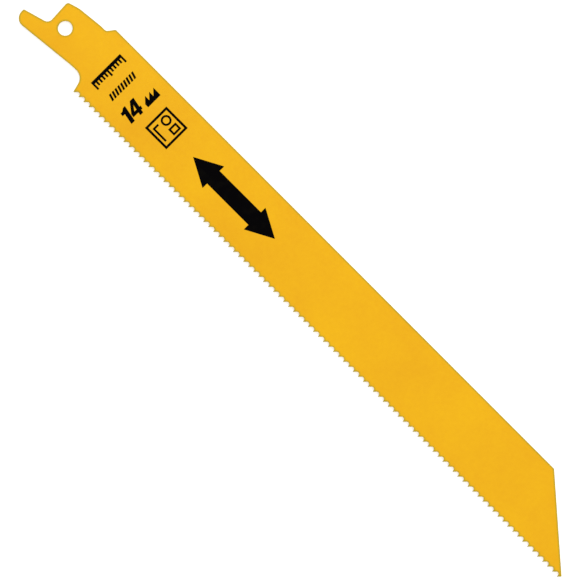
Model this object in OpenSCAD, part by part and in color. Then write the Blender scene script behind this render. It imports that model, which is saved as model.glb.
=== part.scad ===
// Reciprocating saw blade, lying flat.
// X runs from the tang to the tip, Y from the teeth to the back edge, Z through the sheet.
// The origin is the centre of the tang hole, half way through the sheet.

/* [Blade] */
// Overall length, from the end of the tang to the tip, taken along the line of the gullets
overall_l = 200.7; // [120:0.1:300]
// Width of the body, from the back edge to the tooth tips
body_w = 19.05; // [17.5:0.05:23]
// Thickness of the sheet
sheet_t = 0.9; // [0.6:0.05:1.6]
// Centre of the tang hole to the back edge
hole_to_back = 8.93; // [8.2:0.01:10]
// Slope of the tip, from the back edge down to the teeth, in degrees
tip_slope = 41; // [25:1:75]
// Radius of the heel, where the back edge turns down into the tip
heel_r = 0.6; // [0.1:0.1:5]

/* [Teeth] */
// Teeth to the inch
teeth_per_inch = 14; // [6:1:24]
// Height of a tooth, from its tip to the bottom of the gullet
tooth_h = 0.94; // [0.5:0.01:1.3]
// Slope of the back of a tooth, in degrees
relief_a = 45; // [32:1:45]
// Centre of the tang hole to the first tooth tip
tooth_x = 13.03; // [12.5:0.01:20]
// How far the tip of a set tooth leans out to its side
set_off = 0.18; // [0:0.01:0.4]
// Share of a set tooth's height that is bent, measured from its tip
bend_share = 0.7; // [0.3:0.05:0.7]

/* [Tang] */
// Width of the tang
tang_w = 12.65; // [11:0.05:14]
// Cant of the tang against the back edge, in degrees
tang_cant = 6; // [1:0.5:10]
// Diameter of the tang hole
hole_d = 3.8; // [3:0.1:5]
// Centre of the tang hole to the lower edge of the tang
hole_to_edge = 6.42; // [5.8:0.02:6.9]
// Centre of the tang hole to the end of the finger
finger_l = 11; // [9.5:0.1:14]
// Height of the finger at its end
finger_w = 3.55; // [3.1:0.05:4]
// Slope of the finger's upper edge, in degrees
finger_slope = 16; // [8:1:22]
// Radius under the end of the finger
finger_r = 2.5; // [0.4:0.1:2.6]
// Centre of the tang hole to the wall of the notch
notch_x = 4.05; // [3.2:0.05:5.5]
// Lean of the notch wall away from square, in degrees
notch_lean = 3; // [0:0.5:8]
// Radius in the bottom of the notch
notch_r = 1.6; // [0.4:0.1:2.2]
// Length of the sloping lead above the notch
lead_l = 3; // [1.5:0.1:4.5]
// Slope of the lead, in degrees
lead_slope = 17; // [10:1:30]
// Radius in the corner between the notch wall and the lead
lead_r = 0.9; // [0.2:0.1:1.2]
// Centre of the tang hole to where the upper edge turns level
level_x = 6.1; // [4:0.1:6.4]
// Centre of the tang hole to where the lower edge turns level
low_level_x = 8.2; // [6:0.1:8.8]

/* [Shoulder and neck] */
// Centre of the tang hole to the top of the shoulder
shoulder_x = 9.46; // [9:0.02:14]
// Slope of the shoulder, in degrees
shoulder_slope = 53; // [40:1:85]
// Radius at the top of the shoulder
shoulder_top_r = 0.5; // [0.2:0.1:0.6]
// Radius at the foot of the shoulder
shoulder_foot_r = 1; // [0.2:0.1:1.2]
// Slope of the neck, from the tang down to the first tooth, in degrees
neck_slope = 76; // [64:1:88]
// Radius in the corner of the neck
neck_r = 2.8; // [0.5:0.1:4]

/* [Hidden] */

inch = 25.4;
pitch = inch / teeth_per_inch;
back_y = hole_to_back;
tip_y = back_y - body_w;
root_y = tip_y + tooth_h;
tip_x = overall_l - finger_l;

// Corners that are only broken, and bends that are hardly seen
corner_r = 0.3;
bend_r = 8;
// Turn of one straight piece of an arc
arc_step = 9;
gullet_step = 17;

// The gullet's arc touches the back of one tooth and the face of the next. Where the
// pitch is too long for that, its radius is the tooth's height and a flat lies before it.
gullet_fit = (pitch * sin(relief_a) - tooth_h * cos(relief_a)) / (1 + sin(relief_a) - cos(relief_a));
gullet_r = min(gullet_fit, tooth_h);
gullet_a = gullet_fit < tooth_h ? 90 + relief_a : 90;
relief_l = tooth_h / tan(relief_a);

tooth_n = floor((tip_x - tooth_x) / pitch) + 1;

// Height of the line on which the set teeth are bent, and where it crosses the gullet's arc
bend_h = bend_share * tooth_h;
bend_y = tip_y + bend_h;
bend_a = asin(max(0, (bend_y - root_y + gullet_r) / gullet_r));

function unit(v) = v / norm(v);

// Point where a line through p at angle a meets a line through q at angle b
function meet(p, a, q, b) =
    let (along = [cos(a), sin(a)], across = [cos(b), sin(b)])
    p + along * cross(q - p, across) / cross(along, across);

// Points of an arc, both ends included
function arc(c, r, from, to, step) =
    let (n = max(1, ceil(abs(to - from) / step)))
    [for (i = [0 : n]) let (a = from + (to - from) * i / n) c + r * [cos(a), sin(a)]];

// A corner [x, y, radius] between two others, rounded by an arc that touches both its sides
function rounded(before, corner, after) =
    let (
        p = [corner.x, corner.y],
        u = unit([before.x, before.y] - p),
        w = unit([after.x, after.y] - p),
        half = acos(u * w) / 2,
        c = p + unit(u + w) * corner.z / sin(half),
        start = p + u * corner.z / tan(half) - c,
        from = atan2(start.y, start.x),
        turn = (180 - 2 * half) * sign(cross(w, u))
    )
    arc(c, corner.z, from, from + turn, arc_step);

function corner(p, r) = [p.x, p.y, r];

// The set repeats every three teeth: one straight, one to each side. The last stays straight.
function side(k) = k == tooth_n - 1 ? 0 : [0, 1, -1][k % 3];

function tooth_tip(k) = [tooth_x + k * pitch, tip_y];
function gullet_c(k) = [tooth_x + k * pitch - gullet_r, root_y - gullet_r];

// Where the bend line crosses the back of a tooth, and its face below the gullet
function bend_back(k) = tooth_tip(k) + [bend_h / tan(relief_a), bend_h];
function bend_face(k) = tooth_tip(k) + [0, bend_h];

// The gullet in front of tooth k, as far as the bend line where that tooth is set
function gullet(k) = concat(
    gullet_a > 90 ? [] : [tooth_tip(k - 1) + [relief_l, tooth_h]],
    arc(gullet_c(k), gullet_r, gullet_a, side(k) == 0 ? 0 : bend_a, gullet_step)
);

// Tooth k as the flat sheet holds it: whole, or cut off along the bend line
function flat_tooth(k) =
    side(k) == 0 ? [tooth_tip(k)] :
    bend_a > 0 ? [bend_back(k)] : [bend_face(k), bend_back(k)];

// The bent part of tooth k, seen from above
function bent_tooth(k) = concat(
    [bend_back(k)],
    bend_a > 0 ? arc(gullet_c(k), gullet_r, bend_a, 0, gullet_step) : [bend_face(k)],
    [tooth_tip(k)]
);

tooth_row = [
    for (k = [0 : tooth_n - 1]) each concat(k == 0 ? [] : gullet(k), flat_tooth(k))
];

// The tip's slope cuts the last tooth's back, or the flat behind it
tip_root = [tip_x, root_y];
tip_cut = meet(tooth_tip(tooth_n - 1), relief_a, tip_root, -tip_slope);
tip_end = tip_cut.y < root_y ? [tip_cut] : [tooth_tip(tooth_n - 1) + [relief_l, tooth_h], tip_root];
heel = meet(tip_root, -tip_slope, [0, back_y], 0);

// A point on each long edge of the tang, square to the hole
tang_low = hole_to_edge * [sin(tang_cant), -cos(tang_cant)];
tang_top = (tang_w - hole_to_edge) * [-sin(tang_cant), cos(tang_cant)];

finger_low = meet(tang_low, tang_cant, [-finger_l, 0], 90);
finger_top = finger_low + [0, finger_w];
notch_foot = meet(finger_top, finger_slope, [-notch_x, 0], 90 + notch_lean);
lead_end = meet(tang_top, tang_cant, [lead_l - notch_x, 0], 90);
lead_top = meet([-notch_x, 0], 90 + notch_lean, lead_end, lead_slope);
level_start = meet(tang_top, tang_cant, [level_x, 0], 90);
shoulder = [shoulder_x, back_y];
shoulder_foot = meet(level_start, 0, shoulder, shoulder_slope);
low_level = meet(tang_low, tang_cant, [low_level_x, 0], 90);
neck = meet(low_level, 0, tooth_tip(0), -neck_slope);

// The outline's corners, from the shoulder round the tang to the neck
tang_corners = [
    corner(heel, heel_r),
    corner(shoulder, shoulder_top_r),
    corner(shoulder_foot, shoulder_foot_r),
    corner(level_start, bend_r),
    corner(lead_end, bend_r),
    corner(lead_top, lead_r),
    corner(notch_foot, notch_r),
    corner(finger_top, corner_r),
    corner(finger_low, finger_r),
    corner(low_level, bend_r),
    corner(neck, neck_r)
];
corner_ring = concat([corner(tip_root, 0)], tang_corners, [corner(tooth_tip(0), 0)]);

outline = concat(
    [for (i = [1 : len(tang_corners)]) each rounded(corner_ring[i - 1], corner_ring[i], corner_ring[i + 1])],
    tooth_row,
    tip_end
);

// A sheet of the blade's own thickness that leans to one side below the bend line
module leaning_sheet(s) {
    reach = sheet_t + tooth_h;
    lean = s * set_off / bend_h;
    over = [bend_y + reach, -lean * reach];
    under = [tip_y - reach, lean * (bend_h + reach)];
    rotate([90, 0, 90])
        linear_extrude(tip_x + pitch)
            polygon([
                over + [0, sheet_t / 2],
                over - [0, sheet_t / 2],
                under - [0, sheet_t / 2],
                under + [0, sheet_t / 2]
            ]);
}

// The bent parts of all the teeth that are set to one side
module set_teeth(s) {
    intersection() {
        linear_extrude(2 * (sheet_t + set_off), center = true)
            for (k = [0 : tooth_n - 1])
                if (side(k) == s) polygon(bent_tooth(k));
        leaning_sheet(s);
    }
}

module tang_hole() {
    cylinder(h = 2 * sheet_t, d = hole_d, center = true, $fn = 64);
}

module blade() {
    color("#F4B623")
        difference() {
            union() {
                linear_extrude(sheet_t, center = true) polygon(outline);
                set_teeth(1);
                set_teeth(-1);
            }
            tang_hole();
        }
}

blade();
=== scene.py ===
import math

import bmesh
import bpy
from mathutils import Matrix, Vector


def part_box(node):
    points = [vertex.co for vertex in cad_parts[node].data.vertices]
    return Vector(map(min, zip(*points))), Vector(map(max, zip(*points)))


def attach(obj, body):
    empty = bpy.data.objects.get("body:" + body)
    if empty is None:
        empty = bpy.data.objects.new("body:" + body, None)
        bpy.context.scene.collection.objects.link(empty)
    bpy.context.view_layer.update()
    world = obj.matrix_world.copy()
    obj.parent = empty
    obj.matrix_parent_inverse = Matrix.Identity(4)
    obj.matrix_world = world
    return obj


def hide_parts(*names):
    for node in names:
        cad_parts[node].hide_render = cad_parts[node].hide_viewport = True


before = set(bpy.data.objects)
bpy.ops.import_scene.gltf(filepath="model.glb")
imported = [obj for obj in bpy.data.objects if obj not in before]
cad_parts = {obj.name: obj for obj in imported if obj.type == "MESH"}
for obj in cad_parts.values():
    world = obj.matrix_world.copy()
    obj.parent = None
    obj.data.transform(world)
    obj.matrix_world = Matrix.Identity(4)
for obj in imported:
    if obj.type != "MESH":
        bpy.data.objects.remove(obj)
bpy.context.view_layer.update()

# Reciprocating saw blade, enamelled steel, lying flat on a white table.
# X runs from the tang to the tip, Y from the teeth to the back edge, Z out of the printed face.

mm = 0.001
bladeLow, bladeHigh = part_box("blade")
sheetMm = 0.9                    # the set teeth stand proud of the sheet on both sides
faceTop = (bladeLow.z + bladeHigh.z) / 2 + sheetMm / 2 * mm


def paint(hexColour):
    # an sRGB hex colour as the linear values that Blender works in
    parts = [int(hexColour[i:i + 2], 16) / 255 for i in (1, 3, 5)]
    linear = [c / 12.92 if c <= 0.04045 else ((c + 0.055) / 1.055) ** 2.4 for c in parts]
    return (*linear, 1.0)


def addNode(tree, kind, settings={}, inputs={}):
    # a shader node with its settings; an input is a plain value or the socket that feeds it
    node = tree.nodes.new("ShaderNode" + kind)
    for name, value in settings.items():
        setattr(node, name, value)
    for name, value in inputs.items():
        if isinstance(value, bpy.types.NodeSocket):
            tree.links.new(value, node.inputs[name])
        else:
            node.inputs[name].default_value = value
    return node


def newMaterial(name):
    material = bpy.data.materials.new(name)
    material.use_nodes = True
    material.node_tree.nodes.clear()
    return material, material.node_tree


# Baked enamel over a hardened steel sheet. From afar it is a flat, even yellow with a low satin
# sheen. Close to, it has the grain of its pigment, a very fine orange peel and faint lines of the
# rolled steel under it. Along the cut edges and over the teeth the colour turns a darker olive:
# this is painted shade of the edges, put into the colour.
enamel = {
    "yellow": "#F8BC0A",
    "deepYellow": "#EBA502",     # where the coat lies a little thicker
    "edgeShade": "#949620",       # painted shade of the edges and teeth, in the colour
    "deepShare": 0.7,            # how much of the deeper yellow the thickest spots take
    "roughness": 0.38,
    "roughnessSpread": 0.05,
    "specular": 0.2,
    "peelMm": 0.9,               # from crest to crest of the orange peel
    "peelDepthMm": 0.014,
    "rolledLineMm": 0.22,        # across the lines
    "rolledLineRunMm": 30,       # along them
    "rolledDepthMm": 0.004,
    "peelInColour": 0.35,        # against 1 for the drift below
    "cloudMm": 22,               # slow drift of the colour
    "grainMm": 0.15,             # grain of the pigment
    "grainInColour": 0.9,
    "colourSpread": (0.85, 1.4),     # the sum of the three at the plain yellow and at the deepest
    "edgeReachMm": 0.65,         # how far in from the edge the painted shade reaches
    "edgeAmount": 0.72,
    "edgeBreakMm": 1.6,          # how often the painted edge shade swells and fades
    "edgeOpen": (0.62, 0.5),     # how open the inside is where the line is full: swelled, faded
    "noiseSpan": (0.3, 0.7),     # where nearly all of a noise's values lie
}


def makeEnamel():
    material, tree = newMaterial("satinEnamelOnSteel")
    place = addNode(tree, "TexCoord").outputs["Object"]
    along = addNode(tree, "Mapping", {}, {
        "Vector": place,
        "Scale": (1 / (enamel["rolledLineRunMm"] * mm),
                  1 / (enamel["rolledLineMm"] * mm),
                  1 / (enamel["rolledLineMm"] * mm)),
    })
    rolled = addNode(tree, "TexNoise", {}, {
        "Vector": along.outputs["Vector"], "Scale": 1.0, "Detail": 3.0, "Roughness": 0.6})
    peel = addNode(tree, "TexNoise", {}, {
        "Vector": place, "Scale": 1 / (enamel["peelMm"] * mm), "Detail": 2.0, "Roughness": 0.45})
    cloud = addNode(tree, "TexNoise", {}, {
        "Vector": place, "Scale": 1 / (enamel["cloudMm"] * mm), "Detail": 4.0, "Roughness": 0.55})
    grain = addNode(tree, "TexNoise", {}, {
        "Vector": place, "Scale": 1 / (enamel["grainMm"] * mm), "Detail": 2.0, "Roughness": 0.7})
    lowNoise, highNoise = enamel["noiseSpan"]

    # the coat's colour drifts slowly, follows the peel a little and has the pigment's grain in it
    withPeel = addNode(tree, "Math", {"operation": "MULTIPLY_ADD"}, {
        0: peel.outputs["Fac"], 1: enamel["peelInColour"], 2: cloud.outputs["Fac"]})
    drift = addNode(tree, "Math", {"operation": "MULTIPLY_ADD"}, {
        0: grain.outputs["Fac"], 1: enamel["grainInColour"], 2: withPeel.outputs[0]})
    driftAmount = addNode(tree, "MapRange", {}, {
        "Value": drift.outputs[0], "From Min": enamel["colourSpread"][0],
        "From Max": enamel["colourSpread"][1], "To Min": 0.0, "To Max": enamel["deepShare"]})
    coat = addNode(tree, "Mix", {"data_type": "RGBA"}, {
        0: driftAmount.outputs[0], 6: paint(enamel["yellow"]), 7: paint(enamel["deepYellow"])})

    # painted shade along every edge: near one, little of the sheet lies within reach of the surface
    inward = addNode(tree, "AmbientOcclusion", {"inside": True, "only_local": True, "samples": 8}, {
        "Distance": enamel["edgeReachMm"] * mm})
    breakUp = addNode(tree, "TexNoise", {}, {
        "Vector": place, "Scale": 1 / (enamel["edgeBreakMm"] * mm), "Detail": 3.0})
    edgeFull = addNode(tree, "MapRange", {}, {
        "Value": breakUp.outputs["Fac"], "From Min": lowNoise, "From Max": highNoise,
        "To Min": enamel["edgeOpen"][0], "To Max": enamel["edgeOpen"][1]})
    paintedEdgeShade = addNode(tree, "MapRange", {}, {
        "Value": inward.outputs["AO"], "From Min": 1.0, "From Max": edgeFull.outputs[0],
        "To Min": 0.0, "To Max": enamel["edgeAmount"]})
    # painted shade: the coat's colour turns olive near every edge and over the teeth
    colour = addNode(tree, "Mix", {"data_type": "RGBA"}, {
        0: paintedEdgeShade.outputs[0], 6: coat.outputs[2], 7: paint(enamel["edgeShade"])})

    sheen = addNode(tree, "MapRange", {}, {
        "Value": cloud.outputs["Fac"], "From Min": lowNoise, "From Max": highNoise,
        "To Min": enamel["roughness"] - enamel["roughnessSpread"],
        "To Max": enamel["roughness"] + enamel["roughnessSpread"]})
    rolledBump = addNode(tree, "Bump", {}, {
        "Strength": 1.0, "Distance": enamel["rolledDepthMm"] * mm, "Height": rolled.outputs["Fac"]})
    peelBump = addNode(tree, "Bump", {}, {
        "Strength": 1.0, "Distance": enamel["peelDepthMm"] * mm, "Height": peel.outputs["Fac"],
        "Normal": rolledBump.outputs["Normal"]})
    skin = addNode(tree, "BsdfPrincipled", {}, {
        "Base Color": colour.outputs[2], "Roughness": sheen.outputs[0],
        "Specular IOR Level": enamel["specular"], "Normal": peelBump.outputs["Normal"]})
    addNode(tree, "OutputMaterial", {}, {"Surface": skin.outputs["BSDF"]})
    return material


# Pad-printed ink. It lies a hundredth of a millimetre high, nearly black and duller than the
# enamel, with the dots of the pad in it and a few spots where it took thinly.
ink = {
    "black": "#020102",
    "worn": "#0C0A06",
    "roughness": 0.6,
    "specular": 0.02,
    "grainMm": 0.18,
    "grainDepthMm": 0.003,
    "patchMm": 2.5,
    "patchSpan": (0.5, 0.8),     # noise over which a spot goes from full to thin
    "wornShare": 0.7,
    "thickMm": 0.012,
    "sinkMm": 0.003,             # how far its foot reaches into the coat
}


def makeInk():
    material, tree = newMaterial("padPrintedInk")
    place = addNode(tree, "TexCoord").outputs["Object"]
    grain = addNode(tree, "TexNoise", {}, {
        "Vector": place, "Scale": 1 / (ink["grainMm"] * mm), "Detail": 2.0})
    patch = addNode(tree, "TexNoise", {}, {
        "Vector": place, "Scale": 1 / (ink["patchMm"] * mm), "Detail": 4.0})
    thinAmount = addNode(tree, "MapRange", {}, {
        "Value": patch.outputs["Fac"], "From Min": ink["patchSpan"][0],
        "From Max": ink["patchSpan"][1], "To Min": 0.0, "To Max": ink["wornShare"]})
    colour = addNode(tree, "Mix", {"data_type": "RGBA"}, {
        0: thinAmount.outputs[0], 6: paint(ink["black"]), 7: paint(ink["worn"])})
    bump = addNode(tree, "Bump", {}, {
        "Strength": 1.0, "Distance": ink["grainDepthMm"] * mm, "Height": grain.outputs["Fac"]})
    skin = addNode(tree, "BsdfPrincipled", {}, {
        "Base Color": colour.outputs[2], "Roughness": ink["roughness"],
        "Specular IOR Level": ink["specular"], "Normal": bump.outputs["Normal"]})
    addNode(tree, "OutputMaterial", {}, {"Surface": skin.outputs["BSDF"]})
    return material


# White table. The camera sees it as plain white, and it keeps the blade's own faint shadow.
table = {
    "sizeM": 4.0,
    "white": "#E9E9E9",
    "fill": 0.55,                # white added for the camera, and for what reflects the table
    "roughness": 0.9,
}


def seenDirectly(tree):
    # 1 for camera, glossy and transmission rays, 0 for the rest
    path = addNode(tree, "LightPath")
    glossy = addNode(tree, "Math", {"operation": "MAXIMUM"}, {
        0: path.outputs["Is Camera Ray"], 1: path.outputs["Is Glossy Ray"]})
    return addNode(tree, "Math", {"operation": "MAXIMUM"}, {
        0: glossy.outputs[0], 1: path.outputs["Is Transmission Ray"]}).outputs[0]


def makeTable():
    material, tree = newMaterial("whiteLaminate")
    plain = addNode(tree, "BsdfPrincipled", {}, {
        "Base Color": paint(table["white"]), "Roughness": table["roughness"],
        "Specular IOR Level": 0.0})
    fill = addNode(tree, "Math", {"operation": "MULTIPLY"}, {
        0: seenDirectly(tree), 1: table["fill"]})
    glow = addNode(tree, "Emission", {}, {"Strength": fill.outputs[0]})
    both = addNode(tree, "AddShader", {}, {0: plain.outputs["BSDF"], 1: glow.outputs["Emission"]})
    addNode(tree, "OutputMaterial", {}, {"Surface": both.outputs["Shader"]})

    bm = bmesh.new()
    bmesh.ops.create_grid(bm, x_segments=1, y_segments=1, size=table["sizeM"] / 2)
    bmesh.ops.translate(bm, verts=bm.verts, vec=(0, 0, bladeLow.z))
    mesh = bpy.data.meshes.new("table")
    bm.to_mesh(mesh)
    bm.free()
    mesh.materials.append(material)
    floor = bpy.data.objects.new("table", mesh)
    bpy.context.scene.collection.objects.link(floor)


def newPiece(name, bm, material):
    # a finished bmesh as a piece that rides with the blade
    mesh = bpy.data.meshes.new(name)
    bm.to_mesh(mesh)
    bm.free()
    mesh.materials.append(material)
    piece = bpy.data.objects.new(name, mesh)
    bpy.context.scene.collection.objects.link(piece)
    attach(piece, "root")
    return piece


# The blade as it is after tumbling and coating: the same sheet with its rims just broken
rim = {
    "mergeMm": 0.0005,
    "flatDeg": 0.3,              # faces this close to one plane become one
    "sharpDeg": 50,              # a rim is sharper than this
    "wallLift": 0.4,             # one of its faces points up or down less than this
    "sheetLift": 0.9,            # and the other more than this
    "roundMm": 0.06,
    "segments": 3,
}


def makeBlade(material):
    bm = bmesh.new()
    bm.from_mesh(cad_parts["blade"].data)
    bmesh.ops.remove_doubles(bm, verts=bm.verts, dist=rim["mergeMm"] * mm)
    bmesh.ops.dissolve_limit(
        bm, angle_limit=math.radians(rim["flatDeg"]), verts=bm.verts, edges=bm.edges,
        delimit={"NORMAL"})
    bm.normal_update()

    def isRim(edge):
        if len(edge.link_faces) != 2 or edge.calc_face_angle() < math.radians(rim["sharpDeg"]):
            return False
        lift = sorted(abs(face.normal.z) for face in edge.link_faces)
        return lift[0] < rim["wallLift"] and lift[1] > rim["sheetLift"]

    rims = [edge for edge in bm.edges if isRim(edge)]
    bmesh.ops.bevel(
        bm, geom=rims, offset=rim["roundMm"] * mm, offset_type="OFFSET", segments=rim["segments"],
        profile=0.5, affect="EDGES", clamp_overlap=True, material=-1)
    print("blade:", len(rims), "rim edges rounded,", len(bm.faces), "faces")
    for face in bm.faces:
        face.smooth = True
    piece = newPiece("bladeSheet", bm, material)
    weighted = piece.modifiers.new("flatFacesFirst", "WEIGHTED_NORMAL")
    weighted.keep_sharp = True
    weighted.weight = 100
    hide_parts("blade")


def printPiece(name, bm, material):
    # gives flat faces drawn at z = 0 the thickness of the ink, on the blade's upper face
    foot = bmesh.ops.extrude_face_region(bm, geom=bm.faces[:])
    raised = [item for item in foot["geom"] if isinstance(item, bmesh.types.BMVert)]
    bmesh.ops.translate(bm, verts=raised, vec=(0, 0, (ink["thickMm"] + ink["sinkMm"]) * mm))
    bmesh.ops.translate(bm, verts=bm.verts, vec=(0, 0, faceTop - ink["sinkMm"] * mm))
    bmesh.ops.recalc_face_normals(bm, faces=bm.faces)
    newPiece(name, bm, material)


def outlineShape(bm, loops):
    # fills closed loops of corners in millimetres: the first is the outline, the rest are holes
    edges = []
    for loop in loops:
        verts = [bm.verts.new((x * mm, y * mm, 0)) for x, y in loop]
        edges += [bm.edges.new((verts[i - 1], verts[i])) for i in range(len(verts))]
    bmesh.ops.triangle_fill(bm, edges=edges, use_beauty=True, use_dissolve=False)


def openUp(bm, before, line):
    # leaves only a line along the border of the faces that weren't there before
    inner = [face for face in bm.faces if face not in before]
    bmesh.ops.inset_region(
        bm, faces=inner, thickness=line * mm, use_even_offset=True, use_boundary=True)
    bmesh.ops.delete(bm, geom=inner, context="FACES_ONLY")


def frameShape(bm, lowX, lowY, highX, highY, line):
    # an open rectangle between two corners in millimetres
    before = set(bm.faces)
    size = Matrix.Diagonal(((highX - lowX) * mm, (highY - lowY) * mm, 1, 1))
    middle = Matrix.Translation(((lowX + highX) / 2 * mm, (lowY + highY) / 2 * mm, 0))
    bmesh.ops.create_grid(bm, x_segments=1, y_segments=1, size=0.5, matrix=middle @ size)
    openUp(bm, before, line)


def ringShape(bm, middleX, middleY, radius, line):
    # a round ring
    before = set(bm.faces)
    bmesh.ops.create_circle(
        bm, cap_ends=True, segments=40, radius=radius * mm,
        matrix=Matrix.Translation((middleX * mm, middleY * mm, 0)))
    openUp(bm, before, line)


# A ten-millimetre rule across the blade beside the tang, with a tick at each millimetre
rule = {
    "x": 14.6, "spine": 0.9, "long": 2.6, "short": 2.0, "longEach": 5,
    "lowY": -5.0, "ticks": 11, "line": 0.55,
}


def makeRule(material):
    bm = bmesh.new()
    x, spineX = rule["x"], rule["x"] + rule["spine"]
    outline = [(x, rule["lowY"] - rule["line"] / 2)]
    for i in range(rule["ticks"]):
        low, high = rule["lowY"] + i - rule["line"] / 2, rule["lowY"] + i + rule["line"] / 2
        tickX = x + (rule["long"] if i % rule["longEach"] == 0 else rule["short"])
        outline += [(spineX, low), (tickX, low), (tickX, high), (spineX, high)]
    outlineShape(bm, [outline + [(x, high)]])
    printPiece("scaleTicks", bm, material)


# A row of slanting strokes beside the rule
hatch = {
    "footX": 21.9, "high": 1.85, "lowY": -4.7, "highY": 4.5,
    "strokes": 9, "line": 0.62, "slant": 0.3,
}


def makeHatch(material):
    bm = bmesh.new()
    lean = hatch["slant"] * hatch["high"]
    step = (hatch["highY"] - hatch["lowY"] - lean - hatch["line"]) / (hatch["strokes"] - 1)
    topX = hatch["footX"] - hatch["high"]
    for i in range(hatch["strokes"]):
        y = hatch["lowY"] + i * step
        outlineShape(bm, [[(hatch["footX"], y), (hatch["footX"], y + hatch["line"]),
                           (topX, y + lean + hatch["line"]), (topX, y + lean)]])
    printPiece("hatchRow", bm, material)


# The count of teeth to the inch in slanting bold figures. Their tops point to the tang and they
# read towards the back edge. Each is drawn one unit high, across and up.
digits = {
    "high": 4.5, "slant": 0.19, "footX": 29.47,
    "shapes": [
        {"startY": -5.6, "loops": [
            [(0.06, 0), (0.33, 0), (0.33, 1), (0.17, 1), (0.02, 0.87), (-0.13, 0.86), (-0.11, 0.67),
             (0.06, 0.67)]]},
        {"startY": -3.75, "loops": [
            [(0.36, 0), (0.59, 0), (0.59, 0.19), (0.69, 0.19), (0.69, 0.39), (0.60, 0.39), (0.60, 1),
             (0.31, 1), (-0.05, 0.39), (-0.03, 0.19), (0.36, 0.19)],
            [(0.36, 0.39), (0.36, 0.70), (0.20, 0.39)]]},
    ],
}


def makeDigits(material):
    bm = bmesh.new()
    high = digits["high"]
    for shape in digits["shapes"]:
        outlineShape(bm, [
            [(digits["footX"] - up * high, shape["startY"] + (across + digits["slant"] * up) * high)
             for across, up in loop]
            for loop in shape["loops"]])
    printPiece("toothCount", bm, material)


# A short strip of teeth after the figures
strip = {"footX": 29.47, "lowY": 0.75, "pitch": 1.5, "teeth": 3, "high": 1.6, "base": 1.1}


def makeStrip(material):
    bm = bmesh.new()
    backX = strip["footX"] - strip["base"]
    highY = strip["lowY"] + strip["teeth"] * strip["pitch"]
    outline = [(strip["footX"], highY), (strip["footX"], strip["lowY"])]
    for i in range(strip["teeth"]):
        y = strip["lowY"] + i * strip["pitch"]
        outline += [(backX, y), (backX - strip["high"], y + strip["pitch"])]
    outlineShape(bm, [outline + [(backX, highY)]])
    printPiece("toothStrip", bm, material)


# What the blade cuts: the ends of a round tube, a square tube and an angle, in a square.
# The places and sizes of the three are shares of the square's side.
signs = {
    "lowX": 32.6, "lowY": -3.6, "size": 7.8, "frameLine": 0.64, "line": 0.56,
    "tube": {"across": 0.32, "up": 0.67, "radius": 0.18},
    "squareTube": {"lowX": 0.58, "lowY": 0.5, "highX": 0.86, "highY": 0.84},
    "angle": {"lowX": 0.2, "lowY": 0.15, "longLeg": 0.6, "shortLeg": 0.24},
}


def makeSigns(material):
    bm = bmesh.new()
    x, y, size, line = signs["lowX"], signs["lowY"], signs["size"], signs["line"]
    frameShape(bm, x, y, x + size, y + size, signs["frameLine"])

    tube = signs["tube"]
    ringShape(bm, x + tube["across"] * size, y + tube["up"] * size, tube["radius"] * size, line)

    square = signs["squareTube"]
    frameShape(bm, x + square["lowX"] * size, y + square["lowY"] * size,
               x + square["highX"] * size, y + square["highY"] * size, line)

    angle = signs["angle"]
    cornerX, cornerY = x + angle["lowX"] * size, y + angle["lowY"] * size
    farX, farY = cornerX + angle["longLeg"] * size, cornerY + angle["shortLeg"] * size
    outlineShape(bm, [[(cornerX, cornerY), (farX, cornerY), (farX, cornerY + line),
                       (cornerX + line, cornerY + line), (cornerX + line, farY), (cornerX, farY)]])
    printPiece("sectionSigns", bm, material)


# The stroke: one bold arrow with a head at each end
stroke = {
    "lowX": 46.6, "highX": 76.4, "middleY": -0.1,
    "headLong": 7.4, "headHigh": 7.9, "shaftHigh": 4.6,
}


def makeStroke(material):
    bm = bmesh.new()
    lowX, highX, y = stroke["lowX"], stroke["highX"], stroke["middleY"]
    headUp, shaftUp = stroke["headHigh"] / 2, stroke["shaftHigh"] / 2
    lowNeck, highNeck = lowX + stroke["headLong"], highX - stroke["headLong"]
    lowerHalf = [(lowX, y), (lowNeck, y - headUp), (lowNeck, y - shaftUp),
                 (highNeck, y - shaftUp), (highNeck, y - headUp)]
    upperHalf = [(highX, y), (highNeck, y + headUp), (highNeck, y + shaftUp),
                 (lowNeck, y + shaftUp), (lowNeck, y + headUp)]
    outlineShape(bm, [lowerHalf + upperHalf])
    printPiece("strokeArrow", bm, material)


# Soft light from two wide panels and an even white room
lights = {
    "keyPower": 3.9, "keySizeM": 0.6, "keyAt": (-0.25, 0.45, 0.65),
    "fillPower": 2.2, "fillSizeM": 0.8, "fillAt": (0.45, -0.40, 0.60),
    "roomLight": 0.55,
}


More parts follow.
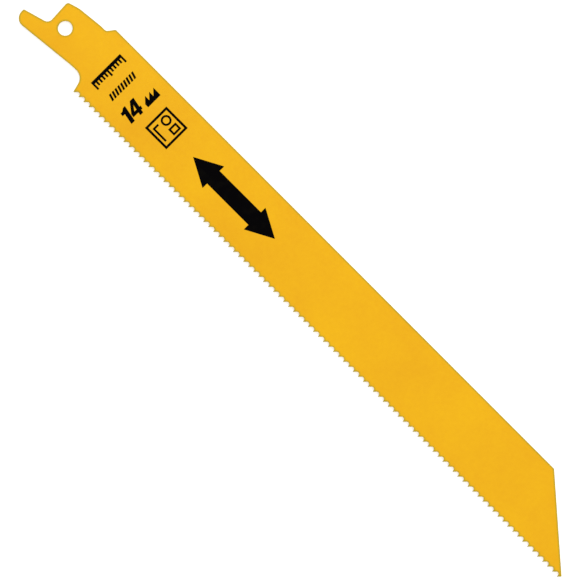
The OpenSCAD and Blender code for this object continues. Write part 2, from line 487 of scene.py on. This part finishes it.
def addPanel(name, power, size, spot, target):
    lamp = bpy.data.lights.new(name, "AREA")
    lamp.energy = power
    lamp.size = size
    panel = bpy.data.objects.new(name, lamp)
    bpy.context.scene.collection.objects.link(panel)
    panel.location = target + Vector(spot)
    panel.rotation_euler = (target - panel.location).to_track_quat("-Z", "Y").to_euler()


def makeLights():
    middle = (bladeLow + bladeHigh) / 2
    addPanel("keyPanel", lights["keyPower"], lights["keySizeM"], lights["keyAt"], middle)
    addPanel("fillPanel", lights["fillPower"], lights["fillSizeM"], lights["fillAt"], middle)
    world = bpy.data.worlds.new("room")
    world.use_nodes = True
    tree = world.node_tree
    tree.nodes.clear()
    strength = addNode(tree, "MapRange", {}, {
        "Value": seenDirectly(tree), "To Min": lights["roomLight"], "To Max": 1.0})
    room = addNode(tree, "Background", {}, {"Strength": strength.outputs[0]})
    addNode(tree, "OutputWorld", {}, {"Surface": room.outputs["Background"]})
    bpy.context.scene.world = world


# The camera looks straight down on the printed face
photo = {
    "widthPx": 580,
    "pxPerMm": 3.892,            # scale of the picture on the blade
    "middleMm": (88.41, -6.64),  # the blade's point at the middle of the picture
    "turnDeg": 45.04,            # the blade's length runs down to the right
    "lensMm": 200,
    "sensorMm": 36,
}


def makeCamera():
    lens = bpy.data.cameras.new("camera")
    lens.lens = photo["lensMm"]
    lens.sensor_width = photo["sensorMm"]
    camera = bpy.data.objects.new("camera", lens)
    bpy.context.scene.collection.objects.link(camera)
    spanMm = photo["widthPx"] / photo["pxPerMm"]
    heightMm = spanMm * photo["lensMm"] / photo["sensorMm"]
    camera.location = (photo["middleMm"][0] * mm, photo["middleMm"][1] * mm, faceTop + heightMm * mm)
    camera.rotation_euler = (0, 0, math.radians(photo["turnDeg"]))
    bpy.context.scene.camera = camera


bpy.context.scene.view_settings.view_transform = "Standard"
makeCamera()
makeTable()
makeLights()
print("camera, table and lights are in place")

makeBlade(makeEnamel())
padInk = makeInk()
makeRule(padInk)
makeHatch(padInk)
makeDigits(padInk)
makeStrip(padInk)
makeSigns(padInk)
makeStroke(padInk)
print("the print is on the blade")
